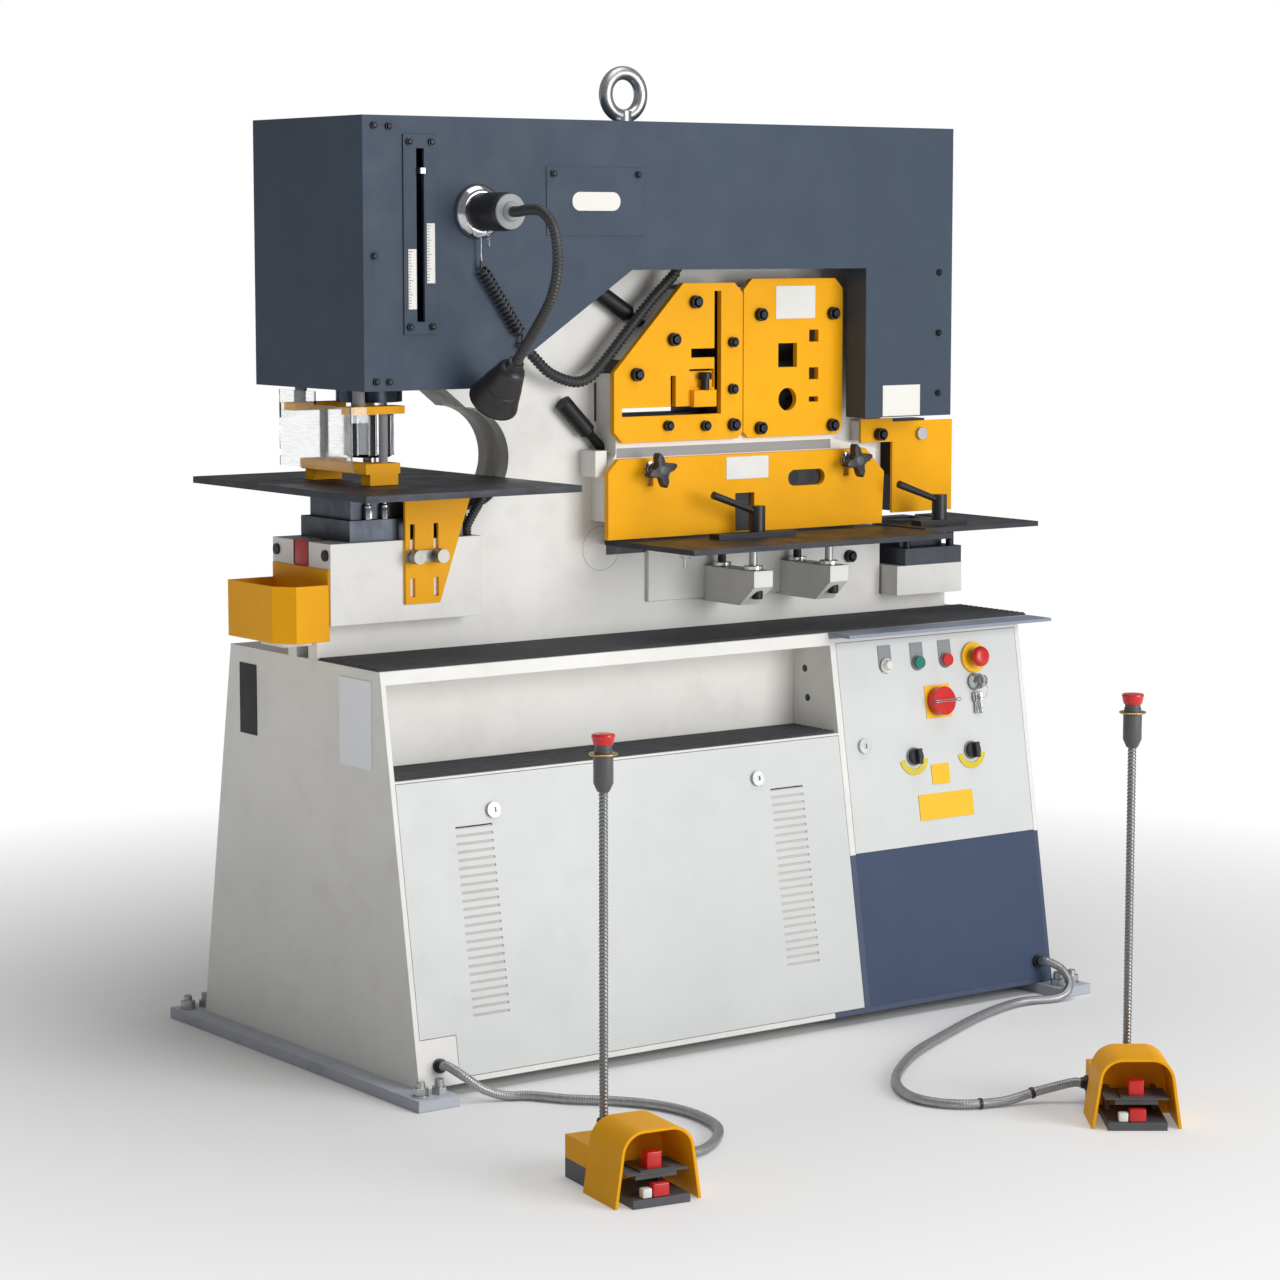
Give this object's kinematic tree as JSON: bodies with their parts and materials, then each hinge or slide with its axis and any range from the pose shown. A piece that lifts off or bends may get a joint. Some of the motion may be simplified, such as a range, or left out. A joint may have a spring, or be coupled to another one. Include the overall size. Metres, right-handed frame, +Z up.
{
  "type": "hydraulic ironworker",
  "caption": "Floor-standing hydraulic ironworker with punch, angle, bar, flat and notch stations, sloped cabinet base, work lamp and corded foot pedals.",
  "frame": {"origin": "centre of the four anchor holes, on the floor", "axes": "+X along the stations from punch to notcher, -Y toward the operator, +Z up"},
  "size_m": [1.684, 1.7316, 1.8106],
  "materials": {
    "cream_paint": "satin",
    "slate_paint": "satin",
    "blue_grey_paint": "satin",
    "yellow_paint": "gloss",
    "red_paint": "satin",
    "grey_paint": "satin",
    "table_steel": "satin",
    "tool_steel": "satin",
    "bright_steel": "polished",
    "black_steel": "satin",
    "post_steel": "satin",
    "black_plastic": "satin",
    "red_plastic": "gloss",
    "green_plastic": "gloss",
    "grey_plastic": "satin",
    "clear_plastic": "clear",
    "mat_rubber": "matte",
    "pedal_plastic": "satin",
    "cord_grey": "satin",
    "hose_black": "satin"
  },
  "bodies": {
    "machine": {"base_shell": "cream_paint", "main_frame": "cream_paint", "white_blocks": "cream_paint", "head_housing": "slate_paint", "head_rear_cover": "slate_paint", "cylinders": "slate_paint", "power_pack": "slate_paint", "cabinet_lower_panel": "blue_grey_paint", "table_bracket": "yellow_paint", "stripper": "yellow_paint", "shear_plates": "yellow_paint", "pedal_hoods": "yellow_paint", "slug_chute": "red_paint", "skids": "grey_paint", "punch_table": "table_steel", "side_tables": "table_steel", "die_blocks": "tool_steel", "fixed_blades": "tool_steel", "eyebolt": "tool_steel", "fasteners": "black_steel", "pedal_posts": "post_steel", "lamp": "black_plastic", "cable_glands": "grey_plastic", "cover_plates": "grey_plastic", "rib_mats": "mat_rubber", "pedal_bases": "pedal_plastic", "cord_left": "cord_grey", "cord_right": "cord_grey", "gooseneck": "hose_black", "lamp_cords": "hose_black"},
    "front_cover": {"front_cover": "cream_paint"},
    "cover_lock_left": {"cover_lock_left": "bright_steel"},
    "cover_lock_right": {"cover_lock_right": "bright_steel"},
    "cabinet_door": {"cabinet_door": "cream_paint", "panel_bezels": "grey_plastic"},
    "door_lock": {"door_lock": "bright_steel"},
    "main_switch": {"main_switch": "red_plastic"},
    "selector_left": {"selector_left": "black_plastic"},
    "selector_right": {"selector_right": "black_plastic"},
    "start_button": {"start_button": "green_plastic"},
    "stop_button": {"stop_button": "red_plastic"},
    "panel_estop": {"panel_estop": "red_plastic"},
    "key_switch": {"key_switch": "bright_steel"},
    "motor_shaft": {"motor_shaft": "bright_steel"},
    "punch_ram": {"punch_ram": "bright_steel", "punch_holder": "bright_steel"},
    "punch_guard": {"punch_guard": "clear_plastic"},
    "slug_bin": {"slug_bin": "yellow_paint"},
    "shear_slide": {"shear_slide": "tool_steel"},
    "flat_guard": {"flat_guard": "yellow_paint"},
    "wing_knob_left": {"wing_knob_left": "black_plastic"},
    "wing_knob_right": {"wing_knob_right": "black_plastic"},
    "flat_lever": {"flat_lever": "black_plastic"},
    "notch_lever": {"notch_lever": "black_plastic"},
    "hold_down_upper": {"hold_down_upper": "black_steel"},
    "hold_down_lower": {"hold_down_lower": "black_steel"},
    "treadle_left": {"treadle_left": "pedal_plastic"},
    "treadle_right": {"treadle_right": "pedal_plastic"},
    "estop_left": {"estop_left": "red_plastic"},
    "estop_right": {"estop_right": "red_plastic"}
  },
  "joints": [
    {"name": "front_cover_hinge", "type": "hinge", "parent": "machine", "child": "front_cover", "pos_m": [-0.237, -0.37924, 0.03066], "axis": [1, 0, 0], "range_deg": [0, 35]},
    {"name": "cover_lock_left_turn", "type": "hinge", "parent": "front_cover", "child": "cover_lock_left", "pos_m": [-0.539, -0.30442, 0.4827], "axis": [0, -0.9866, 0.1633], "range_deg": [0, 90]},
    {"name": "cover_lock_right_turn", "type": "hinge", "parent": "front_cover", "child": "cover_lock_right", "pos_m": [0.055, -0.30442, 0.4827], "axis": [0, -0.9866, 0.1633], "range_deg": [0, 90]},
    {"name": "cabinet_door_hinge", "type": "hinge", "parent": "machine", "child": "cabinet_door", "pos_m": [0.7342, -0.29936, 0.51329], "axis": [0, 0.1633, 0.9866], "range_deg": [0, 110]},
    {"name": "door_lock_turn", "type": "hinge", "parent": "cabinet_door", "child": "door_lock", "pos_m": [0.32, -0.29838, 0.51921], "axis": [0, -0.9866, 0.1633], "range_deg": [0, 90]},
    {"name": "main_switch_turn", "type": "hinge", "parent": "cabinet_door", "child": "main_switch", "pos_m": [0.517, -0.28678, 0.58926], "axis": [0, -0.9866, 0.1633], "range_deg": [0, 90]},
    {"name": "selector_left_turn", "type": "hinge", "parent": "cabinet_door", "child": "selector_left", "pos_m": [0.442, -0.30344, 0.48862], "axis": [0, -0.9866, 0.1633], "range_deg": [-45, 45]},
    {"name": "selector_right_turn", "type": "hinge", "parent": "cabinet_door", "child": "selector_right", "pos_m": [0.59, -0.30344, 0.48862], "axis": [0, -0.9866, 0.1633], "range_deg": [-45, 45]},
    {"name": "start_button_press", "type": "slide", "parent": "cabinet_door", "child": "start_button", "axis": [0, 0.9866, -0.1633], "range_m": [0, 0.004], "stiffness_N_per_m": 600, "springref_m": -0.003},
    {"name": "stop_button_press", "type": "slide", "parent": "cabinet_door", "child": "stop_button", "axis": [0, 0.9866, -0.1633], "range_m": [0, 0.004], "stiffness_N_per_m": 600, "springref_m": -0.003},
    {"name": "panel_estop_press", "type": "slide", "parent": "cabinet_door", "child": "panel_estop", "axis": [0, 0.9866, -0.1633], "range_m": [0, 0.004], "stiffness_N_per_m": 600, "springref_m": -0.003},
    {"name": "key_switch_turn", "type": "hinge", "parent": "cabinet_door", "child": "key_switch", "pos_m": [0.615, -0.28172, 0.61984], "axis": [0, -0.9866, 0.1633], "range_deg": [0, 60]},
    {"name": "motor_spin", "type": "hinge", "parent": "machine", "child": "motor_shaft", "pos_m": [-0.085, 0, 0.397], "axis": [1, 0, 0], "continuous": true},
    {"name": "punch_stroke", "type": "slide", "parent": "machine", "child": "punch_ram", "axis": [0, 0, -1], "range_m": [-0.028, 0.035]},
    {"name": "punch_guard_slide", "type": "slide", "parent": "machine", "child": "punch_guard", "axis": [-1, 0, 0], "range_m": [0, 0.02]},
    {"name": "slug_bin_pull", "type": "slide", "parent": "machine", "child": "slug_bin", "axis": [-1, 0, 0], "range_m": [0, 0.12]},
    {"name": "shear_stroke", "type": "slide", "parent": "machine", "child": "shear_slide", "axis": [0, 0, -1], "range_m": [0, 0.045]},
    {"name": "flat_guard_lift", "type": "slide", "parent": "machine", "child": "flat_guard", "axis": [0, 0, 1], "range_m": [0, 0.025]},
    {"name": "wing_left_turn", "type": "hinge", "parent": "machine", "child": "wing_knob_left", "pos_m": [-0.061, -0.125, 1.057], "axis": [0, -1, 0], "range_deg": [0, 270]},
    {"name": "wing_right_turn", "type": "hinge", "parent": "machine", "child": "wing_knob_right", "pos_m": [0.415, -0.125, 1.057], "axis": [0, -1, 0], "range_deg": [0, 270]},
    {"name": "flat_lever_turn", "type": "hinge", "parent": "machine", "child": "flat_lever", "pos_m": [0.151, -0.181, 0.933], "axis": [0, 0, 1], "range_deg": [-25, 50]},
    {"name": "notch_lever_turn", "type": "hinge", "parent": "machine", "child": "notch_lever", "pos_m": [0.62, -0.168, 0.933], "axis": [0, 0, 1], "range_deg": [-15, 50]},
    {"name": "hold_upper_feed", "type": "slide", "parent": "machine", "child": "hold_down_upper", "axis": [0.8526, 0, -0.5225], "range_m": [-0.018, 0.018]},
    {"name": "hold_lower_feed", "type": "slide", "parent": "machine", "child": "hold_down_lower", "axis": [0.7071, 0, -0.7071], "range_m": [-0.018, 0.018]},
    {"name": "treadle_left_press", "type": "hinge", "parent": "machine", "child": "treadle_left", "pos_m": [-0.76583, -1.0382, 0.044], "axis": [0.989, -0.1478, 0], "range_deg": [0, 8], "stiffness_Nm_per_rad": 12, "springref_deg": -3.44},
    {"name": "treadle_right_press", "type": "hinge", "parent": "machine", "child": "treadle_right", "pos_m": [0.18726, -1.17068, 0.044], "axis": [0.808, -0.5892, 0], "range_deg": [0, 8], "stiffness_Nm_per_rad": 12, "springref_deg": -3.44},
    {"name": "estop_left_press", "type": "slide", "parent": "machine", "child": "estop_left", "axis": [0, 0, -1], "range_m": [0, 0.004], "stiffness_N_per_m": 600, "springref_m": -0.003},
    {"name": "estop_right_press", "type": "slide", "parent": "machine", "child": "estop_right", "axis": [0, 0, -1], "range_m": [0, 0.004], "stiffness_N_per_m": 600, "springref_m": -0.003}
  ]
}
